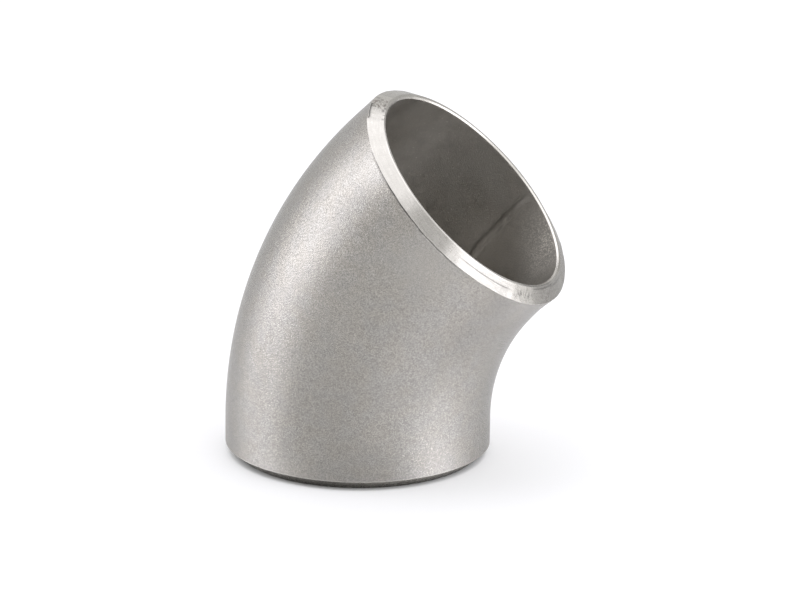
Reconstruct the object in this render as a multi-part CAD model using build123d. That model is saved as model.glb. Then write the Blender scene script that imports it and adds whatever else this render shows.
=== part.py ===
from build123d import *
import math
import os

# A 45 degree long-radius butt-weld elbow of size DN 40 (1 1/2 inch), in millimetres and degrees.
# The origin is the centre of the lower end face. The pipe rises along +Z and bends towards +X.
outside_diameter = 48.3
wall_thickness = 3.1
bend_radius = 57.15  # to the centreline, 1.5 times the nominal 38.1 mm
bend_angle = 45.0
straight_end = 6.4  # unbent length that the forming leaves at each end

# Weld preparation turned on both ends: a square land, a bevel outside it and a broken inner edge
land_width = 0.7
bevel_angle = 40.0  # measured from the end face
inner_chamfer = 0.25

# Weld seam of the pipe that the elbow is formed from: left low inside, dressed flush outside
seam_width = 1.6
seam_height = 0.2
seam_position = 112.0  # round the pipe from the outside of the bend, towards +Y

outer_radius = outside_diameter / 2
bore_radius = outer_radius - wall_thickness
land_radius = bore_radius + inner_chamfer + land_width
bevel_slope = math.tan(math.radians(bevel_angle))
bevel_length = (outer_radius - land_radius) * bevel_slope
tool_overrun = wall_thickness


def seam_bead():
    """Cross-section of the bead: a shallow arc standing on the bore, rooted halfway into the wall."""
    half_width = seam_width / 2
    bore_sag = bore_radius - math.sqrt(bore_radius**2 - half_width**2)
    rise = seam_height - bore_sag
    crown_radius = (rise**2 + half_width**2) / (2 * rise)
    crown = Pos(bore_radius - seam_height + crown_radius, 0) * Circle(crown_radius)
    bead = crown & Circle(bore_radius + wall_thickness / 2)
    return Rot(0, 0, 180 - seam_position) * bead


def pipe_section():
    """The pipe wall with the seam bead standing inside the bore."""
    return Circle(outer_radius) - Circle(bore_radius) + seam_bead()


def bent_pipe():
    """Straight end, bend and straight end, all of one cross-section."""
    section = pipe_section()
    start = Pos(0, 0, straight_end)
    bend_axis = Axis((bend_radius, 0, straight_end), (0, 1, 0))
    lower = extrude(section, amount=straight_end)
    bend = revolve(start * section, axis=bend_axis, revolution_arc=bend_angle)
    upper = (start * lower).rotate(bend_axis, bend_angle)
    return lower + bend + upper


def bevel_tool():
    """What the lathe takes off outside the land, for an end at Z = 0 with the pipe above it."""
    overrun = tool_overrun / bevel_slope
    profile = Polygon(
        (land_radius - overrun, -tool_overrun),
        (outer_radius + overrun, -tool_overrun),
        (outer_radius + overrun, bevel_length + tool_overrun),
        align=None,
    )
    return revolve(Plane.XZ * profile, axis=Axis.Z)


def deburring_tool():
    """The 45 degree countersink that breaks the inner edge of the same end."""
    edge_radius = bore_radius + inner_chamfer
    return Cone(edge_radius + tool_overrun, edge_radius - tool_overrun, 2 * tool_overrun)


def upper_end():
    """Plane of the upper end face, looking back into the pipe."""
    turn = math.radians(bend_angle)
    return Plane(
        origin=(
            bend_radius * (1 - math.cos(turn)) + straight_end * math.sin(turn),
            0,
            straight_end + bend_radius * math.sin(turn) + straight_end * math.cos(turn),
        ),
        x_dir=(0, 1, 0),
        z_dir=(-math.sin(turn), 0, -math.cos(turn)),
    )


def butt_weld_elbow():
    elbow = bent_pipe()
    for end in (Plane.XY, upper_end()):
        elbow = elbow - end * bevel_tool() - end * deburring_tool()
    return elbow


os.makedirs("parts", exist_ok=True)
export_step(butt_weld_elbow(), "parts/elbow.step")
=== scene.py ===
import math

import bpy
import numpy as np
from mathutils import Matrix, Vector


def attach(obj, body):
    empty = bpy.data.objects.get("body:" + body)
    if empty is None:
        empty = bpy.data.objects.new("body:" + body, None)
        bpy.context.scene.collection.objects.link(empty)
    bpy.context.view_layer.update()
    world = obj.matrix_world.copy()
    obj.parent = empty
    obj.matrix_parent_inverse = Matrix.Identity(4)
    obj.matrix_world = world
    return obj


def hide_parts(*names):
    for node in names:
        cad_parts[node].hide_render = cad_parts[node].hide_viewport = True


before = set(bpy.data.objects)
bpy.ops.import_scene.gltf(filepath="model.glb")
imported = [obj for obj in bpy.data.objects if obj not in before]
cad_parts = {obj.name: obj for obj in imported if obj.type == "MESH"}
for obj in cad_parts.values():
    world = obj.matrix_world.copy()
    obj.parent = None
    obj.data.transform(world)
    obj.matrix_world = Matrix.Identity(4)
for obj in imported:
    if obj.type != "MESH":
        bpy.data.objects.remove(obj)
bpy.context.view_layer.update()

# The elbow's sizes, as in the CAD model, in millimetres and degrees
OUTSIDE_DIAMETER = 48.3
WALL = 3.1
BEND_RADIUS = 57.15
BEND_ANGLE = 45.0
STRAIGHT_END = 6.4
LAND_WIDTH = 0.7
BEVEL_ANGLE = 40.0
INNER_CHAMFER = 0.25
SEAM_WIDTH = 1.6
SEAM_HEIGHT = 0.2
SEAM_POSITION = 112.0

OUTER_RADIUS = OUTSIDE_DIAMETER / 2
BORE_RADIUS = OUTER_RADIUS - WALL
LAND_RADIUS = BORE_RADIUS + INNER_CHAMFER + LAND_WIDTH
BEVEL_LENGTH = (OUTER_RADIUS - LAND_RADIUS) * math.tan(math.radians(BEVEL_ANGLE))
BEND_TURN = math.radians(BEND_ANGLE)
PIPE_LENGTH = 2 * STRAIGHT_END + BEND_RADIUS * BEND_TURN
MM = 0.001

# Columns of the mesh round the pipe: even ones, and more across the seam and where the rim is nicked.
# They are in degrees, but for the margin, which is in radians.
EVEN_COLUMNS = 360
SEAM_COLUMNS = 33
SEAM_REACH = 6.4
SEAM_MARGIN = 0.005
NICKED_START = 336.35
NICKED_SHIFT = 0.35
NICKED_STEP = 1.0

# Rounds where two faces of the wall meet, in millimetres
OUTER_ROUND = 0.05
LAND_ROUND = 0.2
INNER_ROUND = 0.08

# Rows of the mesh on each face of the wall, and how far from the upper bevel the skin's extra rows lie
BODY_ROWS = 42
BORE_ROWS = 44
UPPER_BEVEL_ROWS = 30
LOWER_BEVEL_ROWS = 12
LAND_ROWS = 3
CHAMFER_ROWS = 2
RIM_ROWS = np.arange(0.03, 0.56, 0.04)
FIRST_PLACE = 0.004

# Angles below are in degrees round the pipe. 0 is the outside of the bend, 90 is towards +Y.
# A band is a start, an end, the softness of its ends and its strength.

# Scatter of the turned edges: a seed, the waves round the pipe and their size in millimetres
TOP_EDGE_WAVES = (3, (2, 3, 5, 7), 0.04)
TOP_EDGE_RIPPLE = (8, (23, 31, 45), 0.012)
TOP_LAND_WAVES = (4, (1, 2, 4, 6), 0.04)
LOW_EDGE_WAVES = (5, (2, 3, 5, 7), 0.035)
LOW_LAND_WAVES = (6, (1, 2, 4, 6), 0.04)

# Forms of the upper rim, in millimetres. A hump is its middle, half width and height, with the first two
# in degrees. The notch and the losses are bands. The flare's dip is a share of its height.
NOTCH = (337.2, 351.0, 0.7, 0.30)
LAND_LOSS = 0.15
LAND_LOSSES = ((225, 312, 15.0, 0.12), (165, 225, 15.0, 0.25), (312, 356, 12.0, 0.26))
LAND_GAIN = (106, 36, 0.13)
WIDE_BEVEL = (128, 62, 0.76)
FLARE = (175, 65, 0.17)
OPENED_MOUTH = (120, 56, 0.18)
FLARE_LIP = 1.5
FLARE_DIP = 0.5
FLARE_DIP_AT = 4.0
FLARE_DIP_REACH = 2.5

# The burr groove in the skin beside the upper bevel, and the tool's step on the bevel, in millimetres. Both
# are also painted dark, as shade in them.
BURR_BAND = (248, 316, 9.0, 1.0)
BURR_WAVES = (9, (19, 33, 52), 0.2)
BURR_DISTANCE = 0.20
BURR_WIDTH = 0.13
BURR_DEPTH = 0.16
STEP_BAND = (217, 253, 6.0, 1.0)
STEP_WAVES = (11, (17, 29, 41), 0.15)
STEP_PLACE = 0.57
STEP_WIDTH = 0.035
STEP_DEPTH = 0.04

# The seam bead. Its height and swell are shares of the seam's height, and places across it are counted in
# half widths. A shift is a size, a pace in radians per millimetre and a phase. The swell has a second pace.
BEAD_SHIFTS = ((0.18, 0.55, 1.0), (0.12, 1.7, 0.0))
BEAD_HEIGHT = 1.2
BEAD_SWELL = (0.25, 2.1, 0.7, 0.83)
HOLLOW_DEPTH = 0.05
HOLLOW_PLACE = 1.2
HOLLOW_WIDTH = 0.3
FADE_START = 0.3
FADE_LENGTH = 4.0
# A dark line painted in the hollow on the bead's upper side, as shade along the bead
SCALE_PLACE = -1.1
SCALE_WIDTH = 0.5

# Painted glints along the edges and the chamfer, darker bands on the land and its edge, painted shade where
# the land is seen edge-on, and painted shade and sheen on the lower bevel, in bands
OUTER_EDGE_WORN = 0.6
LAND_EDGE_WORN = ((215, 322, 6.0, 1.0),)
LAND_EDGE_DARK = ((324, 345, 4.0, 0.5), (180, 214, 6.0, 0.6))
INNER_EDGE_WORN = ((20, 218, 6.0, 1.0),)
LAND_DARK = ((180, 214, 6.0, 0.6),)
LAND_GRAZED = ((150, 172, 8.0, 1.0),)
# Painted shade on the lower bevel, darkest at the floor, and painted sheen higher on it
LOW_BEVEL_DARK = 0.6
LOW_BEVEL_WORN = ((185, 262, 20.0, 1.0),)

# Marks, painted shade, a painted shadow and painted sheen on the upper bevel, in bands. A line is a band with
# its place across the bevel and its half width, where 0 is the outer edge and 1 is the land.
# The tool's step is painted dark, as shade along it
STEP_DARK = 0.75
# Painted shade on parts of the bevel
BEVEL_DARK = ((168, 202, 8.0, 0.26), (256, 278, 6.0, 0.12))
# The first dark line is a painted shadow along the nicked outer edge; the other two are scratches
BEVEL_DARK_LINES = (
    (336.5, 352, 1.0, 1.0, 0.03, 0.09),
    (181, 204, 3.0, 0.55, 0.88, 0.05),
    (163, 186, 6.0, 0.4, 0.76, 0.05),
)
# Painted sheen on parts of the bevel
BEVEL_BRIGHT = (
    (284, 340, 6.0, 0.36),
    (337, 345.5, 3.0, 0.8),
    (345, 364, 1.0, 0.75),
    (364, 382, 1.0, 0.4),
    (202, 222, 3.0, 0.7),
    (206, 220, 3.0, 0.35),
    (216, 227, 3.0, 0.12),
    (238, 262, 5.0, 0.25),
)
# A painted glint along the bevel next to the land
BEVEL_BRIGHT_LINES = ((215, 322, 6.0, 1.0, 1.0, 0.04),)
BEVEL_BURNT = ((344, 361, 4.0, 1.0), (180, 200, 6.0, 0.5))
BEVEL_CHATTER = ((200, 219, 4.0, 1.0),)
# Painted shade where the bevel is seen edge-on
BEVEL_GRAZED = ((138, 172, 8.0, 0.4),)

# Small dark nicks on the bevel: angle, place across, half length in degrees, half width and darkness
NICKS = (
    (345.4, 0.86, 1.2, 0.09, 0.85),
    (347.8, 0.97, 1.3, 0.08, 0.85),
    (346.8, 0.52, 1.0, 0.08, 0.50),
    (348.0, 0.24, 1.6, 0.10, 0.50),
    (352.5, 0.88, 1.6, 0.08, 0.55),
    (355.0, 0.50, 2.2, 0.13, 0.28),
    (359.0, 0.25, 2.0, 0.13, 0.28),
    (341.2, 0.94, 0.5, 0.07, 0.65),
    (337.4, 0.93, 0.6, 0.09, 0.70),
)

# Soft patches of painted reflection and painted shade: middle and half width, distance and reach in
# millimetres, and how much paler. Below 0 it is duller, as painted shade. The distance is from the lower end
# on the skin, and from the mouth in the bore.
SKIN_PATCHES = (
    (250, 34, 0, 9, -0.22),
    (287, 20, 0, 6, 0.5),
    (213, 22, 0, 6, 0.4),
    (212, 34, 45, 10, -0.19),
    (260, 24, 53, 7, 0.4),
    (306, 14, 55, 4, 0.4),
    (293, 16, 50, 6, -0.12),
    (265, 30, 15, 12, -0.10),
    (300, 14, 38, 8, 0.2),
    (221, 18, 18, 13, 0.24),
    (290, 12, 16, 9, 0.17),
    (302, 9, 15, 10, -0.10),
    (350, 28, 46, 12, -0.12),
    (319, 9, 49, 5, 0.22),
    (304, 8, 47, 5, -0.10),
    (222, 16, 54, 4, -0.12),
)
BORE_PATCHES = (
    (122, 44, 16, 7, 1.0),
    (34, 34, 6, 7, 0.6),
    (92, 32, 3, 6, -0.8),
)

# Where the blasting reached into the mouth, and where it left a coarser grain on the skin
MOUTH_BLASTED = ((110, 174, 30.0, 0.9),)
MOUTH_REACH = 9.0
COARSE_UPRIGHT = (218, 34)
COARSE_TOP = 42
COARSE_FADE = 22
COARSE_FOOT = (292, 32)
COARSE_FOOT_REACH = 14

# The faces of the wall in the order of its outline, the material slots, the masks of marks and of painted
# light and shade, and the UVs
FACES = (
    "outside",
    "upper_bevel",
    "upper_land",
    "upper_chamfer",
    "bore",
    "lower_chamfer",
    "lower_land",
    "lower_bevel",
)
SKIN, TURNING, INSIDE = range(3)
MARKS = ("dark", "worn", "burnt", "chatter", "grazed")
UV_NAME = "girth_and_outline"

# Colours: the blasted skin, the pickled bore and the turned ends
STEEL = (0.332, 0.3195, 0.301)
PICKLED = (0.548, 0.525, 0.486)
TURNED = (0.384, 0.3695, 0.343)

# The blasted skin. Noise is features per metre, detail and roughness; cells are features per metre.
# A range is where a noise begins and ends to show, and then what it gives at those two.
# A level is how pale or dark a colour is against the metal's own. A bump is its depth in metres and strength.
SKIN_DIMPLES = (6500.0, 0.0, 0.5)
SKIN_CLOUDS = (110.0, 3.0, 0.5)
SKIN_TINTS = (300.0, 1.0, 0.5)
SKIN_CELLS = 8000.0
FINE_DARKEST = 0.68
FINE_PALEST = 1.32
SPECK_RANGE = (0.3, 1.0)
COARSE_DARKEST = 0.74
COARSE_PALEST = 1.46
SKIN_CLOUD_RANGE = (0.35, 0.65, 0.0, 0.15)
SKIN_CLOUD_LEVEL = 0.9
TINT_RANGE = (0.3, 0.7)
WARM_TINT = (1.015, 1.0, 0.975, 1)
SKIN_ROUGHNESS = (0.3, 0.7, 0.21, 0.25)
DIMPLE_BUMP = (0.00005, 1.0)
DIRT_LEVEL = 0.25
WORN_LEVEL = 1.4
METAL_EDGE = 0.82

# The turned ends. Streaks are features per metre round the pipe and across it, detail and roughness.
TOOL_MARKS = (350.0, 5200.0, 3.0, 0.6)
CROSS_STROKES = (3600.0, 420.0, 2.0, 0.6)
DULL_PATCHES = (900.0, 1500.0, 3.0, 0.6)
BURNT_SPOTS = (1100.0, 1700.0, 2.0, 0.5)
LONG_STREAKS = (130.0, 2200.0, 2.0, 0.5)
GRIT = (4000.0, 2500.0, 2.0, 0.6)
RIPPLES = (2600.0, 800.0, 2.0, 0.5)
MARK_RANGE = (0.3, 0.7)
MARK_DARKEST = 0.84
MARK_PALEST = 1.12
STROKE_RANGE = (0.5, 0.78)
STROKE_LEVEL = 0.78
PATCH_RANGE = (0.35, 0.7, 0.0, 0.6)
PATCH_LEVEL = 0.88
GRIT_RANGE = (0.5, 0.8)
GRIT_LEVEL = 0.8
STREAK_RANGE = (0.52, 0.7, 0.0, 0.6)
STREAK_LEVEL = 0.8
BURNT_RANGE = (0.46, 0.62, 0.0, 0.75)
BURNT_COLOR = (0.17, 0.142, 0.128, 1)
RIPPLE_RANGE = (0.48, 0.60)
RIPPLE_LEVEL = 0.76
GRAZED_LEVEL = 0.95
TURNED_ROUGHNESS = (0.3, 0.7, 0.24, 0.32)
MARK_BUMP = (0.000004, 0.5)
GRIT_BUMP = (0.00001, 0.5)
TURNED_EDGE = 0.78
GRAZED_EDGE = 0.42
ANISOTROPY = 0.7
QUARTER_TURN = 0.25

# The bore
BORE_GRAIN = (4200.0, 2.0, 0.6)
BORE_CLOUDS = (130.0, 3.0, 0.55)
BORE_STAINS = (420.0, 5.0, 0.7)
BORE_CELLS = 5000.0
GRAIN_RANGE = (0.3, 0.7)
GRAIN_DARKEST = 0.94
GRAIN_PALEST = 1.06
BORE_CLOUD_RANGE = (0.35, 0.65)
BORE_CLOUD_LEVEL = 0.84
STAIN_RANGE = (0.42, 0.66, 0.0, 0.8)
STAIN_LEVEL = 0.78
BLASTED_DARKEST = 0.85
BLASTED_PALEST = 1.7
SPARK_RANGE = (0.985, 1.0)
SPARK_LEVEL = 1.3
BORE_PALE_LEVEL = 1.22
BORE_DULL_LEVEL = 0.8
BLASTED_ROUGHER = 0.22
BORE_ROUGHNESS = (0.3, 0.7, 0.36, 0.44)
GRAIN_BUMP = (0.00008, 0.6)

# The table, in metres. Its contact shadow reaches less far for the camera than its shade for reflections.
TABLE_SIZE = 3.0
TABLE_GREY = 0.62
TABLE_GLOW = 0.375
SKY_SAMPLES = 8
SKY_REACH = 0.03
CONTACT_REACH = 0.0011
CONTACT_POWER = 1.2
POLISH = 0.6
POLISH_GREY = 0.96
POLISH_ROUGHNESS = 0.25

# Lamps, in metres. A side lamp is its name, azimuth, height of its centre, width, height and radiance.
# Azimuth 0 is towards -Y, where the photographer stands, and 90 is +X. An overhead lamp is its name, its
# place along X and its radiance.
MIDDLE_X = 0.01
LAMP_DISTANCE = 0.62
LAMP_COLOR = (0.935, 0.935, 1.0)
SIDE_LAMPS = (
    ("left", -80, 0.30, 0.43, 0.60, 2.0),
    ("left_rear", -122, 0.25, 0.34, 0.14, 0.5),
    ("right", 88, 0.18, 0.58, 0.36, 2.45),
    ("right_rear", 134, 0.24, 0.40, 0.34, 0.65),
    ("right_upper", 110, 0.48, 0.44, 0.24, 1.6),
    ("front", 42, 0.5, 0.5, 0.36, 1.08),
)
OVERHEAD_LAMPS = (("overhead_left", -0.24, 1.7), ("overhead_right", 0.26, 1.2))
OVERHEAD_Y = 0.25
OVERHEAD_Z = 0.78
OVERHEAD_SIZE = (0.5, 1.25)
ROOM_GREY = 0.5

# The camera: its own right, up and back, its place in metres, and its lens in millimetres
CAMERA_RIGHT = (0.95168096, 0.30690783, 0.01053239)
CAMERA_UP = (-0.10278314, 0.28602271, 0.95269441)
CAMERA_BACK = (0.28937687, -0.90774368, 0.30374731)
CAMERA_PLACE = (0.358085, -1.098728, 0.397771)
SENSOR_WIDTH = 36
FOCAL_LENGTH = 300.914
FAR_CLIP = 20


def centreline(s):
    """Centre of the pipe at a distance s from its lower end, and the outward direction of the bend there."""
    turn = np.clip((s - STRAIGHT_END) / BEND_RADIUS, 0, BEND_TURN)
    beyond = np.clip(s - STRAIGHT_END - BEND_RADIUS * BEND_TURN, 0, None)
    below = np.minimum(s, STRAIGHT_END)
    centre = np.stack(
        [
            BEND_RADIUS * (1 - np.cos(turn)) + beyond * np.sin(turn),
            np.zeros_like(turn),
            below + BEND_RADIUS * np.sin(turn) + beyond * np.cos(turn),
        ],
        -1,
    )
    outward = np.stack([-np.cos(turn), np.zeros_like(turn), np.sin(turn)], -1)
    return centre, outward


def waves(angle, seed, orders, size):
    """A smooth closed variation round the pipe, the same on every run."""
    rng = np.random.default_rng(seed)
    total = np.zeros_like(angle)
    for order in orders:
        total += rng.normal() * np.sin(order * angle + rng.uniform(0, 2 * np.pi)) / math.sqrt(len(orders))
    return size * total


def window(angle, start, end, soft, strength=1.0):
    """The strength between two angles round the pipe and nothing outside, with soft ends."""
    past = (np.degrees(angle) - start) % 360
    rise = np.clip(past / soft, 0, 1)
    fall = np.clip((end - start - past) / soft, 0, 1)
    return strength * (rise * fall)


def hump(angle, centre, half, height=1.0):
    """The height at one angle round the pipe, falling smoothly to nothing a half width away."""
    away = (np.degrees(angle) - centre + 180) % 360 - 180
    return height * np.cos(np.clip(away / half, -1, 1) * np.pi / 2) ** 2


def bell(value, centre, width):
    """One where the value is at the centre, falling off on both sides."""
    return np.exp(-(((value - centre) / width) ** 2))


def bands(angle, table):
    """All bands of a table together."""
    return sum(window(angle, *band) for band in table)


def lines(angle, place, table):
    """All lines of a table together, at a place across the bevel."""
    total = np.zeros_like(angle)
    for start, end, soft, strength, centre, width in table:
        total = total + window(angle, start, end, soft, strength) * bell(place, centre, width)
    return total


def nicks(angle, place):
    """All nicks together, at a place across the bevel."""
    total = np.zeros_like(angle)
    for at, across, length, width, depth in NICKS:
        total = total + depth * bell(np.degrees(angle), at, length) * bell(place, across, width)
    return total


def angles_round():
    """Where the mesh's columns stand round the pipe."""
    seam = math.radians(SEAM_POSITION)
    near = math.radians(SEAM_REACH)
    even = np.linspace(0, 2 * np.pi, EVEN_COLUMNS, endpoint=False)
    even = even[np.abs(even - seam) > near]
    fine = np.linspace(seam - near + SEAM_MARGIN, seam + near - SEAM_MARGIN, SEAM_COLUMNS)
    first = np.arange(NICKED_START, 360, NICKED_STEP)
    second = np.arange(NICKED_START + NICKED_SHIFT, 360, NICKED_STEP)
    return np.sort(np.concatenate([even, fine, np.radians(first), np.radians(second)]))


def places(count, fine_end=()):
    """Even places from 0 to 1 along a face between two rounded corners, with extra ones close to its end."""
    even = np.linspace(0, 1, count + 2)[1:-1]
    fine = 1 - np.array(fine_end) / PIPE_LENGTH
    return np.sort(np.concatenate([[FIRST_PLACE], even, fine, [1 - FIRST_PLACE]]))


def rounded(before, corner, after, radius, steps=4):
    """Points on a small round at a corner of the wall's outline, for every angle at once."""
    to_before, to_after = before - corner, after - corner
    to_before /= np.linalg.norm(to_before, axis=-1, keepdims=True)
    to_after /= np.linalg.norm(to_after, axis=-1, keepdims=True)
    half = np.arccos(np.clip((to_before * to_after).sum(-1, keepdims=True), -1, 1)) / 2
    reach = radius / np.tan(half)
    a, b = corner + to_before * reach, corner + to_after * reach
    rows = []
    for t in np.linspace(0, 1, steps):
        rows.append((1 - t) ** 2 * a + 2 * t * (1 - t) * corner + t**2 * b)
    return rows


def wall_corners(angle):
    """The corner before each face of the wall: its distance along the pipe and radius, and its round."""

    def corner(s, r):
        flat = np.ones_like(angle)
        return np.stack([flat * s, flat * r], -1)

    top_edge = waves(angle, *TOP_EDGE_WAVES) + waves(angle, *TOP_EDGE_RIPPLE)
    top_edge = top_edge + window(angle, *NOTCH) + hump(angle, *WIDE_BEVEL)
    top_land = waves(angle, *TOP_LAND_WAVES) - LAND_LOSS - bands(angle, LAND_LOSSES) + hump(angle, *LAND_GAIN)
    low_edge = waves(angle, *LOW_EDGE_WAVES)
    low_land = waves(angle, *LOW_LAND_WAVES)
    flare = hump(angle, *FLARE)
    mouth_radius = BORE_RADIUS + hump(angle, *OPENED_MOUTH)
    return (
        (corner(BEVEL_LENGTH + low_edge, OUTER_RADIUS), OUTER_ROUND),
        (corner(PIPE_LENGTH - BEVEL_LENGTH + top_edge, OUTER_RADIUS + flare), OUTER_ROUND),
        (corner(PIPE_LENGTH, LAND_RADIUS + top_land), LAND_ROUND),
        (corner(PIPE_LENGTH, mouth_radius + INNER_CHAMFER), INNER_ROUND),
        (corner(PIPE_LENGTH - INNER_CHAMFER, mouth_radius), INNER_ROUND),
        (corner(INNER_CHAMFER, BORE_RADIUS), INNER_ROUND),
        (corner(0, BORE_RADIUS + INNER_CHAMFER), INNER_ROUND),
        (corner(0, LAND_RADIUS + low_land), LAND_ROUND),
    )


def burr_groove(angle, distance):
    """A fine groove that the lathe tool left beside the bevel's outer edge, on the near side only."""
    line = window(angle, *BURR_BAND) * (1 + waves(angle, *BURR_WAVES))
    return np.clip(line, 0, 1) * bell(distance, BURR_DISTANCE, BURR_WIDTH)


def tool_step(angle, place):
    """A hair-fine step half-way across the bevel where the tool was set over."""
    line = window(angle, *STEP_BAND) * (1 + waves(angle, *STEP_WAVES))
    return np.clip(line, 0, 1) * bell(place, STEP_PLACE, STEP_WIDTH)


def corner_marks(face, angle):
    """Painted glints, and darker bands by the land, on the round before a face."""
    if face in ("outside", "upper_bevel"):
        return {"worn": OUTER_EDGE_WORN * np.ones_like(angle)}
    if face in ("upper_land", "lower_bevel"):
        return {"worn": bands(angle, LAND_EDGE_WORN), "dark": bands(angle, LAND_EDGE_DARK)}
    if face in ("upper_chamfer", "bore"):
        return {"worn": bands(angle, INNER_EDGE_WORN)}
    return {}


def upper_bevel_marks(angle, place):
    """Marks, painted shade, a painted shadow and painted sheen on the upper bevel, at a place across it."""
    dark = STEP_DARK * tool_step(angle, place) + bands(angle, BEVEL_DARK)
    dark = dark + lines(angle, place, BEVEL_DARK_LINES) + nicks(angle, place)
    bright = bands(angle, BEVEL_BRIGHT) + lines(angle, place, BEVEL_BRIGHT_LINES)
    return {
        "dark": dark,
        "worn": np.clip(bright, 0, 1),
        "burnt": bands(angle, BEVEL_BURNT),
        "chatter": bands(angle, BEVEL_CHATTER) * math.sin(math.pi * place),
        "grazed": bands(angle, BEVEL_GRAZED),
    }


def face_marks(face, angle, place, from_edge):
    """Marks, painted shade and painted sheen on a face at a place along it, from 0 to 1, and a distance from
    its end in millimetres.
    """
    if face == "outside":
        # The burr groove is also painted dark, as shade in it
        return {"dark": burr_groove(angle, from_edge)}
    if face == "upper_bevel":
        return upper_bevel_marks(angle, place)
    if face == "upper_land":
        return {"dark": bands(angle, LAND_DARK), "grazed": bands(angle, LAND_GRAZED)}
    if face == "upper_chamfer":
        return {"worn": bands(angle, INNER_EDGE_WORN), "grazed": bands(angle, LAND_GRAZED)}
    if face == "lower_bevel":
        # Painted shade darkest by the floor, and painted sheen towards the outer edge
        dark = LOW_BEVEL_DARK * (1 - place) * np.ones_like(angle)
        return {"dark": dark, "worn": place * bands(angle, LOW_BEVEL_WORN)}
    return {}


def relief(face, angle, place, from_edge, row, inward):
    """A row of a face with the flare of the far rim, the burr groove and the tool's step in it."""
    if face == "outside":
        dip = FLARE_DIP * bell(from_edge, FLARE_DIP_AT, FLARE_DIP_REACH)
        row[:, 1] += hump(angle, *FLARE) * (bell(from_edge, 0, FLARE_LIP) - dip - place)
        return row + inward * (BURR_DEPTH * burr_groove(angle, from_edge))[:, None]
    if face == "upper_bevel":
        return row + inward * (STEP_DEPTH * tool_step(angle, place))[:, None]
    return row


def outline(angle):
    """The wall's closed outline as rows of (distance along the pipe, radius), each row once round the pipe.

    The face that each row lies on and its marks come with them."""
    row_places = {
        "outside": places(BODY_ROWS, RIM_ROWS),
        "upper_bevel": places(UPPER_BEVEL_ROWS),
        "bore": places(BORE_ROWS),
        "lower_bevel": places(LOWER_BEVEL_ROWS),
    }
    for end in ("upper", "lower"):
        row_places[end + "_land"] = places(LAND_ROWS)
        row_places[end + "_chamfer"] = places(CHAMFER_ROWS)
    corners = wall_corners(angle)
    rounds = []
    for k, (point, radius) in enumerate(corners):
        rounds.append(rounded(corners[k - 1][0], point, corners[(k + 1) % len(corners)][0], radius))
    rows, faces, marks = [], [], []
    for k, face in enumerate(FACES):
        for row in rounds[k]:
            rows.append(row)
            faces.append(face)
            marks.append(corner_marks(face, angle))
        start, end = rounds[k][-1], rounds[(k + 1) % len(rounds)][0]
        across = (end - start) / np.linalg.norm(end - start, axis=-1, keepdims=True)
        inward = np.stack([across[:, 1], -across[:, 0]], -1)
        for place in row_places[face]:
            row = (1 - place) * start + place * end
            from_edge = end[:, 0] - row[:, 0]
            rows.append(relief(face, angle, place, from_edge, row, inward))
            faces.append(face)
            marks.append(face_marks(face, angle, place, from_edge))
    return np.array(rows), np.array(faces), marks


def seam_bead(angle, s):
    """The weld bead along the bore: a low round with a shallow hollow at each side, uneven along its length.

    The second value is a dark line painted in the hollow on its upper side, as shade along the bead."""
    across = (angle - math.radians(SEAM_POSITION)) * BORE_RADIUS / (SEAM_WIDTH / 2)
    for size, pace, phase in BEAD_SHIFTS:
        across = across - size * np.sin(pace * s + phase)
    swell, pace, phase, slow_pace = BEAD_SWELL
    height = SEAM_HEIGHT * (BEAD_HEIGHT + swell * np.sin(pace * s + phase) * np.sin(slow_pace * s))
    hollow = HOLLOW_DEPTH * bell(np.abs(across), HOLLOW_PLACE, HOLLOW_WIDTH)
    from_end = np.minimum(s, PIPE_LENGTH - s) - INNER_CHAMFER
    fade = np.clip((from_end - FADE_START) / FADE_LENGTH, 0, 1)
    fade = fade * fade * (3 - 2 * fade)
    # A dark line painted as shade in the upper hollow
    scale = np.clip(from_end, 0, 1) * bell(across, SCALE_PLACE, SCALE_WIDTH)
    return fade * (height * np.clip(1 - across**2, 0, None) - hollow), scale


def tone(angle, distance, patches):
    """How pale and how dull a surface is made by its soft patches of painted reflection and painted shade."""
    pale, dull = 0, 0
    for centre, half, along, reach, amount in patches:
        patch = hump(angle, centre, half) * bell(distance, along, reach)
        pale = pale + max(amount, 0) * patch
        dull = dull + max(-amount, 0) * patch
    return pale, dull


def coarse_grain(angle, s):
    """Where the blasting left a coarser grain: up the short side of the bend, and by the foot."""
    upright = hump(angle, *COARSE_UPRIGHT) * np.clip((COARSE_TOP - s) / COARSE_FADE, 0, 1)
    foot = hump(angle, *COARSE_FOOT) * bell(s, 0, COARSE_FOOT_REACH)
    return np.clip(upright + foot, 0, 1)


def surface_masks(angle, s, faces, marks, scale):
    """Every mask that the materials read, one value for each vertex."""
    on_skin = (faces == "outside")[:, None]
    in_bore = (faces == "bore")[:, None]
    angle_row = angle[None, :]
    masks = {}
    for name in MARKS:
        masks[name] = np.array([mark.get(name, np.zeros_like(angle)) for mark in marks])
    for here, distance, patches, dirt in (
        (in_bore, PIPE_LENGTH - s, BORE_PATCHES, scale),
        (on_skin, s, SKIN_PATCHES, 0),
    ):
        # Painted shade and painted reflection from the patches, and in the bore the painted shade along the
        # seam
        pale, dull = tone(angle_row, distance, patches)
        masks["dark"] = masks["dark"] + np.where(here, dirt + dull, 0)
        masks["worn"] = masks["worn"] + np.where(here, pale, 0)
    masks["coarse"] = np.where(on_skin, coarse_grain(angle_row, s), 0)
    blasted = bands(angle_row, MOUTH_BLASTED) * bell(s, PIPE_LENGTH, MOUTH_REACH)
    masks["blasted"] = np.where(in_bore, blasted, 0)
    return masks


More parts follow.
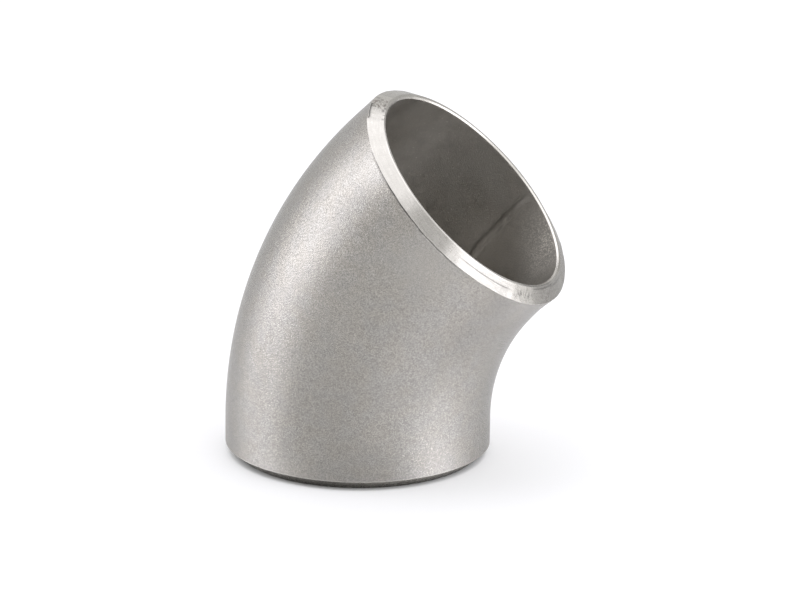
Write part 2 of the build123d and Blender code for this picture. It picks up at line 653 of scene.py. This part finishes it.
def unrolled(rows, angle):
    """A UV for every face corner: round the pipe by the angle, across the wall by its outline, in metres."""
    step = np.linalg.norm(np.roll(rows, -1, axis=0) - rows, axis=-1).mean(axis=1)
    along = np.concatenate([[0], np.cumsum(step)])
    girth = np.concatenate([angle, [angle[0] + 2 * np.pi]]) * OUTER_RADIUS
    uv = np.empty((len(rows), len(angle), 4, 2))
    left, right = girth[:-1][None, :], girth[1:][None, :]
    low, high = along[:-1][:, None], along[1:][:, None]
    for k, (u, v) in enumerate(((left, low), (right, low), (right, high), (left, high))):
        uv[:, :, k] = np.stack(np.broadcast_arrays(u, v), -1)
    return uv * MM


def build_elbow():
    """The whole elbow as one closed mesh, with its masks, its UVs and a material slot for each face."""
    angle = angles_round()
    rows, faces, marks = outline(angle)
    s, r = rows[..., 0], rows[..., 1]
    bead, scale = seam_bead(angle[None, :], s)
    r = r - np.where((faces == "bore")[:, None], bead, 0)
    centre, outward = centreline(s)
    sideways = np.array([0.0, 1.0, 0.0])
    points = centre + outward * (r * np.cos(angle))[..., None] + sideways * (r * np.sin(angle))[..., None]
    below = np.arange(r.size).reshape(r.shape)
    above = np.roll(below, -1, axis=0)
    corners = [below, np.roll(below, -1, axis=1), np.roll(above, -1, axis=1), above]
    quads = np.stack(corners, -1).reshape(-1, 4)
    mesh = bpy.data.meshes.new("elbow_body")
    mesh.from_pydata((points.reshape(-1, 3) * MM).tolist(), [], quads.tolist())
    mesh.polygons.foreach_set("use_smooth", np.ones(len(quads), bool))
    wears = np.where(faces == "outside", SKIN, np.where(faces == "bore", INSIDE, TURNING))
    mesh.polygons.foreach_set("material_index", np.repeat(wears, len(angle)).astype(np.int32))
    layer = mesh.uv_layers.new(name=UV_NAME)
    layer.data.foreach_set("uv", unrolled(rows, angle).astype(np.float32).ravel())
    for name, mask in surface_masks(angle, s, faces, marks, scale).items():
        layer = mesh.attributes.new(name, "FLOAT", "POINT")
        layer.data.foreach_set("value", mask.astype(np.float32).ravel())
    mesh.validate()
    mesh.update()
    elbow = bpy.data.objects.new("elbow_body", mesh)
    bpy.context.scene.collection.objects.link(elbow)
    return elbow


class Nodes:
    """Short words for building a node tree."""

    def __init__(self, owner, output):
        owner.use_nodes = True
        self.owner = owner
        self.tree = owner.node_tree
        self.tree.nodes.clear()
        self.output = self.add(output)

    def add(self, kind, **settings):
        node = self.tree.nodes.new(kind)
        for key, value in settings.items():
            setattr(node, key, value)
        return node

    def link(self, source, target):
        self.tree.links.new(source, target)

    def put(self, socket, value):
        if isinstance(value, bpy.types.NodeSocket):
            self.link(value, socket)
        else:
            socket.default_value = value

    def math(self, operation, *values):
        node = self.add("ShaderNodeMath", operation=operation)
        for socket, value in zip(node.inputs, values):
            self.put(socket, value)
        return node.outputs[0]

    def seen(self):
        """One for rays from the camera and for those that come by a reflection or through glass."""
        ray = self.add("ShaderNodeLightPath").outputs
        mirrored = self.math("MAXIMUM", ray["Is Glossy Ray"], ray["Is Transmission Ray"])
        return self.math("MAXIMUM", ray["Is Camera Ray"], mirrored)

    def mask(self, name):
        """A value that surface_masks gave the mesh."""
        return self.add("ShaderNodeAttribute", attribute_name=name).outputs["Fac"]

    def noise(self, vector, scale, detail=2.0, roughness=0.5):
        node = self.add("ShaderNodeTexNoise")
        self.link(vector, node.inputs["Vector"])
        node.inputs["Scale"].default_value = scale
        node.inputs["Detail"].default_value = detail
        node.inputs["Roughness"].default_value = roughness
        return node.outputs["Fac"]

    def streaks(self, vector, round_pipe, across, detail=2.0, roughness=0.5):
        """Noise with a different number of features per metre round the pipe and across it."""
        node = self.add("ShaderNodeMapping")
        self.link(vector, node.inputs["Vector"])
        node.inputs["Scale"].default_value = (round_pipe, across, 1.0)
        return self.noise(node.outputs["Vector"], 1.0, detail, roughness)

    def cells(self, vector, scale):
        """A random value for every small cell, as a grey level."""
        node = self.add("ShaderNodeTexVoronoi")
        self.link(vector, node.inputs["Vector"])
        node.inputs["Scale"].default_value = scale
        split = self.add("ShaderNodeSeparateColor")
        self.link(node.outputs["Color"], split.inputs[0])
        return split.outputs[0]

    def ramp(self, value, low, high, to_low=0.0, to_high=1.0):
        node = self.add("ShaderNodeMapRange", interpolation_type="SMOOTHSTEP")
        self.put(node.inputs["Value"], value)
        for name, number in (("From Min", low), ("From Max", high), ("To Min", to_low), ("To Max", to_high)):
            self.put(node.inputs[name], number)
        return node.outputs["Result"]

    def blend(self, factor, a, b, mode="MIX"):
        node = self.add("ShaderNodeMix", data_type="RGBA", blend_type=mode)
        self.put(node.inputs[0], factor)
        self.put(node.inputs[6], a)
        self.put(node.inputs[7], b)
        return node.outputs[2]

    def mix(self, factor, a, b):
        """Two shaders, by a factor."""
        node = self.add("ShaderNodeMixShader")
        self.put(node.inputs[0], factor)
        self.link(a, node.inputs[1])
        self.link(b, node.inputs[2])
        return node.outputs[0]

    def bump(self, height, distance, strength=1.0, normal=None):
        node = self.add("ShaderNodeBump")
        self.link(height, node.inputs["Height"])
        node.inputs["Distance"].default_value = distance
        node.inputs["Strength"].default_value = strength
        if normal is not None:
            self.link(normal, node.inputs["Normal"])
        return node.outputs["Normal"]

    def metal(self, color, roughness, normal):
        """A metal with a slightly duller edge than its own colour would give."""
        node = self.add("ShaderNodeBsdfPrincipled")
        node.inputs["Specular Tint"].default_value = grey(METAL_EDGE)
        self.put(node.inputs["Base Color"], color)
        self.put(node.inputs["Roughness"], roughness)
        node.inputs["Metallic"].default_value = 1.0
        self.link(normal, node.inputs["Normal"])
        self.link(node.outputs[0], self.output.inputs["Surface"])
        return node


def shade(color, level):
    return tuple(channel * level for channel in color) + (1.0,)


def grey(level):
    return shade((1.0, 1.0, 1.0), level)


def material_nodes(name):
    return Nodes(bpy.data.materials.new(name), "ShaderNodeOutputMaterial")


def blasted_steel():
    """Bead-blasted skin: small dimples that sparkle, with faint clouds of tone."""
    n = material_nodes("blasted_steel")
    place = n.add("ShaderNodeTexCoord").outputs["Object"]
    dimples = n.noise(place, *SKIN_DIMPLES)
    cloud = n.noise(place, *SKIN_CLOUDS)
    tint = n.noise(place, *SKIN_TINTS)
    speck = n.cells(place, SKIN_CELLS)
    fine = n.blend(speck, shade(STEEL, FINE_DARKEST), shade(STEEL, FINE_PALEST))
    coarse = n.blend(n.ramp(speck, *SPECK_RANGE), shade(STEEL, COARSE_DARKEST), shade(STEEL, COARSE_PALEST))
    color = n.blend(n.mask("coarse"), fine, coarse)
    color = n.blend(n.ramp(cloud, *SKIN_CLOUD_RANGE), color, shade(STEEL, SKIN_CLOUD_LEVEL))
    color = n.blend(n.ramp(tint, *TINT_RANGE), color, WARM_TINT, "MULTIPLY")
    # Painted shade: the burr groove and the duller patches on the skin
    color = n.blend(n.mask("dark"), color, shade(STEEL, DIRT_LEVEL))
    # Painted highlights and reflections: the skin made paler where its patches say
    color = n.blend(n.mask("worn"), color, shade(STEEL, WORN_LEVEL))
    n.metal(color, n.ramp(cloud, *SKIN_ROUGHNESS), n.bump(dimples, *DIMPLE_BUMP))
    return n.owner


def turned_steel():
    """Weld preparation: cut on the lathe, so the marks run round the pipe."""
    n = material_nodes("turned_steel")
    place = n.add("ShaderNodeTexCoord").outputs["UV"]
    marks = n.streaks(place, *TOOL_MARKS)
    patches = n.streaks(place, *DULL_PATCHES)
    grit = n.streaks(place, *GRIT)
    color = n.blend(n.ramp(marks, *MARK_RANGE), shade(TURNED, MARK_DARKEST), shade(TURNED, MARK_PALEST))
    for layer, span, level in (
        (n.streaks(place, *CROSS_STROKES), STROKE_RANGE, STROKE_LEVEL),
        (patches, PATCH_RANGE, PATCH_LEVEL),
        (grit, GRIT_RANGE, GRIT_LEVEL),
        (n.streaks(place, *LONG_STREAKS), STREAK_RANGE, STREAK_LEVEL),
    ):
        color = n.blend(n.ramp(layer, *span), color, shade(TURNED, level))
    # Painted sheen and painted glints on the turned faces and their edges
    color = n.blend(n.mask("worn"), color, shade(TURNED, WORN_LEVEL))
    for mask, layer, span, stain in (
        ("burnt", n.streaks(place, *BURNT_SPOTS), BURNT_RANGE, BURNT_COLOR),
        ("chatter", n.streaks(place, *RIPPLES), RIPPLE_RANGE, shade(TURNED, RIPPLE_LEVEL)),
    ):
        color = n.blend(n.math("MULTIPLY", n.mask(mask), n.ramp(layer, *span)), color, stain)
    # Nicks, scratches and darker bands, with painted shade and a painted shadow, on the turned faces
    color = n.blend(n.mask("dark"), color, shade(TURNED, DIRT_LEVEL))
    # Painted shade in the colour where the turned faces are seen edge-on
    color = n.blend(n.mask("grazed"), color, shade(TURNED, GRAZED_LEVEL))
    normal = n.bump(grit, *GRIT_BUMP, normal=n.bump(marks, *MARK_BUMP))
    surface = n.metal(color, n.ramp(patches, *TURNED_ROUGHNESS), normal)
    # The same painted shade dulls the edge's tint
    edge = n.blend(n.mask("grazed"), grey(TURNED_EDGE), grey(GRAZED_EDGE))
    n.link(edge, surface.inputs["Specular Tint"])
    surface.inputs["Anisotropic"].default_value = ANISOTROPY
    surface.inputs["Anisotropic Rotation"].default_value = QUARTER_TURN
    tangent = n.add("ShaderNodeTangent", direction_type="UV_MAP", uv_map=UV_NAME)
    n.link(tangent.outputs[0], surface.inputs["Tangent"])
    return n.owner


def bore_steel():
    """Inside of the pipe: the same steel, pickled and a little uneven."""
    n = material_nodes("bore_steel")
    place = n.add("ShaderNodeTexCoord").outputs["Object"]
    grain = n.noise(place, *BORE_GRAIN)
    cloud = n.noise(place, *BORE_CLOUDS)
    stain = n.noise(place, *BORE_STAINS)
    speck = n.cells(place, BORE_CELLS)
    blasted = n.mask("blasted")
    darkest, palest = shade(PICKLED, BLASTED_DARKEST), shade(PICKLED, BLASTED_PALEST)
    dimpled = n.blend(n.ramp(speck, *SPECK_RANGE), darkest, palest)
    color = n.blend(n.ramp(grain, *GRAIN_RANGE), shade(PICKLED, GRAIN_DARKEST), shade(PICKLED, GRAIN_PALEST))
    color = n.blend(n.ramp(cloud, *BORE_CLOUD_RANGE), color, shade(PICKLED, BORE_CLOUD_LEVEL))
    color = n.blend(n.ramp(stain, *STAIN_RANGE), color, shade(PICKLED, STAIN_LEVEL))
    color = n.blend(blasted, color, dimpled)
    color = n.blend(n.ramp(speck, *SPARK_RANGE), color, shade(PICKLED, SPARK_LEVEL))
    # Paler patches in the bore, painted as reflections
    color = n.blend(n.mask("worn"), color, shade(PICKLED, BORE_PALE_LEVEL))
    # Painted shade in the bore: the seam's toe line and the duller patches
    color = n.blend(n.mask("dark"), color, shade(PICKLED, BORE_DULL_LEVEL))
    roughness = n.math("MULTIPLY_ADD", blasted, BLASTED_ROUGHER, n.ramp(cloud, *BORE_ROUGHNESS))
    n.metal(color, roughness, n.bump(grain, *GRAIN_BUMP))
    return n.owner


body = build_elbow()
for make in (blasted_steel, turned_steel, bore_steel):
    body.data.materials.append(make())
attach(body, "root")
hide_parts("elbow")


def white_table():
    """A polished table. The camera sees its white and the shadow on it, and no mirror image."""
    n = material_nodes("white_table")
    from_camera = n.add("ShaderNodeLightPath").outputs["Is Camera Ray"]
    matt = n.add("ShaderNodeBsdfDiffuse")
    matt.inputs["Color"].default_value = grey(TABLE_GREY)
    open_sky = n.add("ShaderNodeAmbientOcclusion", samples=SKY_SAMPLES)
    reach = n.math("MULTIPLY_ADD", from_camera, CONTACT_REACH - SKY_REACH, SKY_REACH)
    n.link(reach, open_sky.inputs["Distance"])
    lit = n.math("MULTIPLY", n.math("POWER", open_sky.outputs["AO"], CONTACT_POWER), TABLE_GLOW)
    glow = n.add("ShaderNodeEmission")
    n.link(n.math("MULTIPLY", lit, n.seen()), glow.inputs["Strength"])
    white = n.add("ShaderNodeAddShader")
    n.link(matt.outputs[0], white.inputs[0])
    n.link(glow.outputs[0], white.inputs[1])
    polish = n.add("ShaderNodeBsdfGlossy")
    polish.inputs["Color"].default_value = grey(POLISH_GREY)
    polish.inputs["Roughness"].default_value = POLISH_ROUGHNESS
    polished = n.math("MULTIPLY_ADD", from_camera, -POLISH, POLISH)
    n.link(n.mix(polished, white.outputs[0], polish.outputs[0]), n.output.inputs["Surface"])
    return n.owner


def floor():
    """The table that the elbow stands on."""
    size = TABLE_SIZE
    corners = [(-size, -size, 0), (size, -size, 0), (size, size, 0), (-size, size, 0)]
    mesh = bpy.data.meshes.new("floor")
    mesh.from_pydata(corners, [], [(0, 1, 2, 3)])
    plane = bpy.data.objects.new("floor", mesh)
    bpy.context.scene.collection.objects.link(plane)
    mesh.materials.append(white_table())


def softbox(name, centre, aim, width, height, radiance):
    """A rectangular lamp with its centre and the point it faces in metres."""
    centre, aim = Vector(centre), Vector(aim)
    data = bpy.data.lights.new(name, "AREA")
    data.shape = "RECTANGLE"
    data.size, data.size_y = width, height
    data.energy = radiance * math.pi * width * height
    data.color = LAMP_COLOR
    lamp = bpy.data.objects.new(name, data)
    lamp.location = centre
    lamp.rotation_euler = (aim - centre).to_track_quat("-Z", "Y").to_euler()
    bpy.context.scene.collection.objects.link(lamp)


def lamps():
    """Softboxes beside the elbow and over it."""
    for name, azimuth, up, width, height, radiance in SIDE_LAMPS:
        turn = math.radians(azimuth)
        across, back = LAMP_DISTANCE * math.sin(turn), -LAMP_DISTANCE * math.cos(turn)
        softbox(name, (MIDDLE_X + across, back, up), (MIDDLE_X, 0, up), width, height, radiance)
    for name, x, radiance in OVERHEAD_LAMPS:
        softbox(name, (x, OVERHEAD_Y, OVERHEAD_Z), (x, OVERHEAD_Y, 0), *OVERHEAD_SIZE, radiance)


def studio():
    """White all round for what the camera and the steel see, and a low level for matt surfaces."""
    world = bpy.data.worlds.new("studio")
    bpy.context.scene.world = world
    n = Nodes(world, "ShaderNodeOutputWorld")
    room = n.add("ShaderNodeBackground")
    room.inputs["Color"].default_value = grey(ROOM_GREY)
    white = n.add("ShaderNodeBackground")
    white.inputs["Color"].default_value = grey(1.0)
    n.link(n.mix(n.seen(), room.outputs[0], white.outputs[0]), n.output.inputs["Surface"])


def camera():
    """The photograph's viewpoint, worked out from the elbow's edges in it."""
    data = bpy.data.cameras.new("camera")
    data.sensor_width = SENSOR_WIDTH
    data.lens = FOCAL_LENGTH
    data.clip_end = FAR_CLIP
    view = bpy.data.objects.new("camera", data)
    turn = Matrix((CAMERA_RIGHT, CAMERA_UP, CAMERA_BACK)).transposed()
    view.matrix_world = Matrix.Translation(Vector(CAMERA_PLACE)) @ turn.to_4x4()
    bpy.context.scene.collection.objects.link(view)
    bpy.context.scene.camera = view


floor()
lamps()
studio()
camera()
bpy.context.scene.view_settings.view_transform = "Standard"
